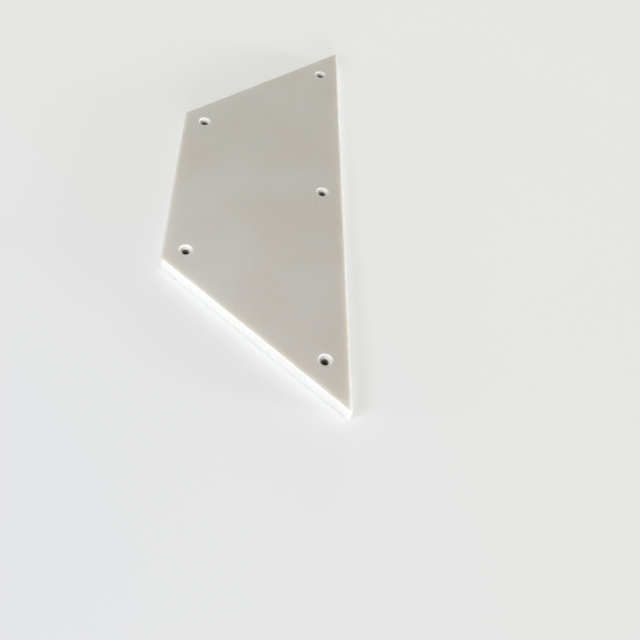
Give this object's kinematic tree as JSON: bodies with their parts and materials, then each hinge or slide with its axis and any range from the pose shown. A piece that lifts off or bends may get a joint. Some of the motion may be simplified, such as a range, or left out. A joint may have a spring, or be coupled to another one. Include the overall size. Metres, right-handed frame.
{
  "type": "polyethylene liner plate",
  "caption": "Trapezoidal polyethylene wear liner plate with chamfered edges and countersunk bolt holes, bolted flat over a chute, hopper or truck bed wall so that bulk material slides.",
  "frame": {"origin": "in the back face, halfway between the two parallel edges and halfway along them", "axes": "+Y along the long edge, +X from the short edge to the long edge, +Z out of the wear face, where the countersinks open"},
  "size_m": [0.3, 0.8928, 0.025],
  "materials": {
    "polyethylene": "natural white UHMW polyethylene, planed and waxy, with saw-cut ends and machined countersinks"
  },
  "bodies": {
    "root": {"liner_plate": "polyethylene"}
  },
  "joints": []
}
